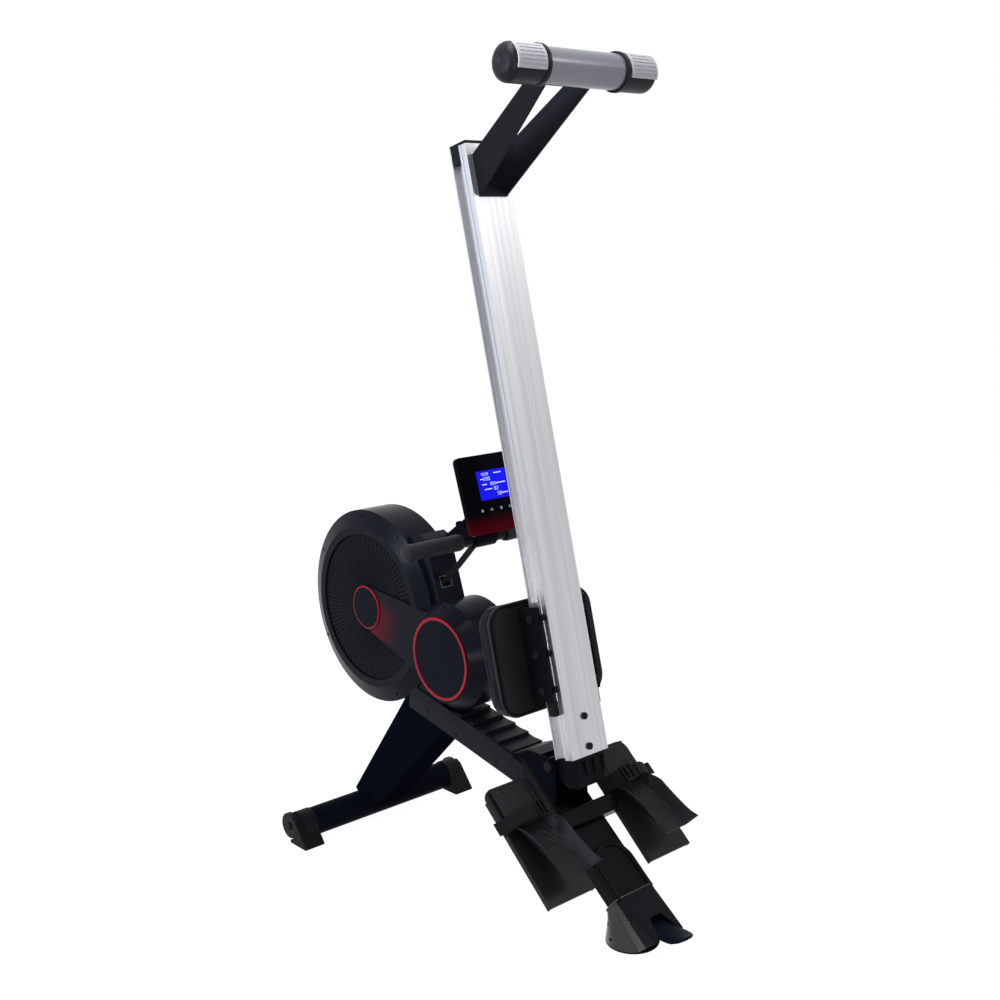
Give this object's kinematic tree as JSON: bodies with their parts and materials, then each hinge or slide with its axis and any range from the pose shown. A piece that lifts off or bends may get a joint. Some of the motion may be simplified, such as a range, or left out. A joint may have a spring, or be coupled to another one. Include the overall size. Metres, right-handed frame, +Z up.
{
  "type": "folding rowing machine",
  "caption": "Folding indoor rowing machine stored upright: sliding seat on an aluminium rail that hinges up, round flywheel housing, pull handle, foot rests and console.",
  "frame": {"origin": "centre of the round base of the boot under the rear post, on the floor", "axes": "+Z up; +X towards the rear, where the rower sits; +Y to the machine's far side, across its width"},
  "size_m": [1.1511, 0.504, 1.715],
  "materials": {
    "frame_paint": "satin",
    "plate_paint": "satin",
    "housing_plastic": "satin",
    "vent_plastic": "satin",
    "badge_plastic": "gloss",
    "neck_plastic": "satin",
    "boot_plastic": "satin",
    "pedal_plastic": "satin",
    "black_plastic": "matte",
    "console_plastic": "gloss",
    "screen_glass": "gloss",
    "key_plastic": "gloss",
    "footbed_plastic": "satin",
    "webbing": "woven",
    "grip_foam": "foam",
    "seat_vinyl": "vinyl",
    "seat_board_plastic": "satin",
    "roller_plastic": "satin",
    "steel": "brushed",
    "screw_steel": "blackened",
    "rail_aluminium": "anodised",
    "tube_silver": "metallic",
    "iron": "machined",
    "belt_rubber": "ribbed",
    "pad_rubber": "ribbed",
    "foot_rubber": "matte"
  },
  "bodies": {
    "frame": {"front_foot_tube": "frame_paint", "front_feet": "foot_rubber", "front_leg": "frame_paint", "main_beam": "frame_paint", "hinge_pin": "screw_steel", "beam_side_covers": "black_plastic", "beam_step_cover": "black_plastic", "rear_post": "plate_paint", "boot_shells": "boot_plastic", "boot_sole": "foot_rubber", "pedal_pin": "steel", "footrest_crossbar": "plate_paint", "foot_plates": "plate_paint", "foot_straps": "webbing", "strap_buckles": "black_plastic", "housing_right": "housing_plastic", "housing_left": "housing_plastic", "vent_discs": "vent_plastic", "badge_caps": "badge_plastic", "strap_outlet": "black_plastic", "cover_screws": "screw_steel", "drive_shafts": "steel", "drive_belt": "belt_rubber", "console_arm": "frame_paint"},
    "wheel_right": {"transport_wheel_right": "black_plastic"},
    "wheel_left": {"transport_wheel_left": "black_plastic"},
    "pedal": {"release_pedal": "pedal_plastic"},
    "latch": {"latch_rod": "steel"},
    "footbed_right": {"footbed_right": "footbed_plastic"},
    "footbed_left": {"footbed_left": "footbed_plastic"},
    "flywheel": {"flywheel": "iron"},
    "pulley": {"drive_pulley": "black_plastic"},
    "spool": {"strap_spool": "black_plastic"},
    "console": {"console_housing": "console_plastic", "console_screen": "screen_glass"},
    "handle": {"handle_tube": "steel", "handle_grips": "grip_foam", "handle_hub": "pedal_plastic", "pull_strap": "webbing"},
    "rail": {"rail": "rail_aluminium", "hinge_block": "frame_paint", "rail_bolts": "screw_steel", "rail_end_cap": "black_plastic", "rail_stops": "foot_rubber", "rear_foot_tube": "tube_silver", "rear_bracket": "frame_paint", "rear_caps": "black_plastic", "rear_pads": "pad_rubber"},
    "seat": {"seat_cushion": "seat_vinyl", "seat_board": "seat_board_plastic", "seat_carriage": "frame_paint", "roller_axles": "steel"},
    "rollers_low": {"seat_rollers_low": "roller_plastic"},
    "rollers_middle": {"seat_rollers_middle": "roller_plastic"},
    "rollers_high": {"seat_rollers_high": "roller_plastic"},
    "key_1": {"console_key_1": "key_plastic"},
    "key_2": {"console_key_2": "key_plastic"},
    "key_3": {"console_key_3": "key_plastic"},
    "key_4": {"console_key_4": "key_plastic"},
    "key_5": {"console_key_5": "key_plastic"}
  },
  "joints": [
    {"name": "rail_fold", "type": "hinge", "parent": "frame", "child": "rail", "pos_m": [-0.183, 0, 0.328], "axis": [0, 1, 0], "range_deg": [0, 99.7]},
    {"name": "seat_slide", "type": "slide", "parent": "rail", "child": "seat", "axis": [-0.223, 0, 0.9748], "range_m": [0, 0.85]},
    {"name": "rollers_low_spin", "type": "hinge", "parent": "seat", "child": "rollers_low", "pos_m": [-0.1756, 0, 0.49458], "axis": [0, 1, 0], "range_deg": [-10, 3760]},
    {"name": "rollers_middle_spin", "type": "hinge", "parent": "seat", "child": "rollers_middle", "pos_m": [-0.19176, 0, 0.56525], "axis": [0, 1, 0], "range_deg": [-10, 3760]},
    {"name": "rollers_high_spin", "type": "hinge", "parent": "seat", "child": "rollers_high", "pos_m": [-0.20793, 0, 0.63592], "axis": [0, 1, 0], "range_deg": [-10, 3760]},
    {"name": "handle_pull", "type": "slide", "parent": "frame", "child": "handle", "axis": [0.9511, 0, -0.309], "range_m": [0, 0.15], "stiffness_N_per_m": 20, "springref_m": -0.5, "deforming": ["pull_strap"]},
    {"name": "spool_spin", "type": "hinge", "parent": "frame", "child": "spool", "pos_m": [-0.494, 0, 0.4905], "axis": [0, 1, 0], "range_deg": [-5, 300]},
    {"name": "flywheel_spin", "type": "hinge", "parent": "frame", "child": "flywheel", "pos_m": [-0.778, 0, 0.5495], "axis": [0, 1, 0], "continuous": true},
    {"name": "pulley_spin", "type": "hinge", "parent": "frame", "child": "pulley", "pos_m": [-0.494, 0, 0.4905], "axis": [0, 1, 0], "continuous": true},
    {"name": "console_tilt", "type": "hinge", "parent": "frame", "child": "console", "pos_m": [-0.41448, 0, 0.83916], "axis": [0, 1, 0], "range_deg": [-8, 8]},
    {"name": "key_1_press", "type": "slide", "parent": "console", "child": "key_1", "axis": [-0.9573, 0, -0.289], "range_m": [0, 0.001], "stiffness_N_per_m": 200, "springref_m": -0.0005},
    {"name": "key_2_press", "type": "slide", "parent": "console", "child": "key_2", "axis": [-0.9573, 0, -0.289], "range_m": [0, 0.001], "stiffness_N_per_m": 200, "springref_m": -0.0005},
    {"name": "key_3_press", "type": "slide", "parent": "console", "child": "key_3", "axis": [-0.9573, 0, -0.289], "range_m": [0, 0.001], "stiffness_N_per_m": 200, "springref_m": -0.0005},
    {"name": "key_4_press", "type": "slide", "parent": "console", "child": "key_4", "axis": [-0.9573, 0, -0.289], "range_m": [0, 0.001], "stiffness_N_per_m": 200, "springref_m": -0.0005},
    {"name": "key_5_press", "type": "slide", "parent": "console", "child": "key_5", "axis": [-0.9573, 0, -0.289], "range_m": [0, 0.001], "stiffness_N_per_m": 200, "springref_m": -0.0005},
    {"name": "wheel_right_spin", "type": "hinge", "parent": "frame", "child": "wheel_right", "pos_m": [-0.869, 0, 0.037], "axis": [0, 1, 0], "continuous": true},
    {"name": "wheel_left_spin", "type": "hinge", "parent": "frame", "child": "wheel_left", "pos_m": [-0.869, 0, 0.037], "axis": [0, 1, 0], "continuous": true},
    {"name": "pedal_press", "type": "hinge", "parent": "frame", "child": "pedal", "pos_m": [0.018, 0, 0.062], "axis": [0, 1, 0], "range_deg": [0, 12], "stiffness_Nm_per_rad": 1.5, "springref_deg": -28.65},
    {"name": "latch_travel", "type": "slide", "parent": "frame", "child": "latch", "axis": [0.7705, 0, -0.6374], "range_m": [0, 0.0045]},
    {"name": "footbed_right_adjust", "type": "slide", "parent": "frame", "child": "footbed_right", "axis": [0.7396, 0, -0.673], "range_m": [0, 0.03]},
    {"name": "footbed_left_adjust", "type": "slide", "parent": "frame", "child": "footbed_left", "axis": [0.7396, 0, -0.673], "range_m": [0, 0.03]}
  ],
  "couplings": [
    {"joint": "rollers_low_spin", "follows": "seat_slide", "rad_per_m": 76.92},
    {"joint": "rollers_middle_spin", "follows": "seat_slide", "rad_per_m": 76.92},
    {"joint": "rollers_high_spin", "follows": "seat_slide", "rad_per_m": 76.92},
    {"joint": "spool_spin", "follows": "handle_pull", "rad_per_m": 33.3},
    {"joint": "pulley_spin", "follows": "flywheel_spin", "ratio": 0.2723},
    {"joint": "latch_travel", "follows": "pedal_press", "m_per_rad": 0.02}
  ]
}
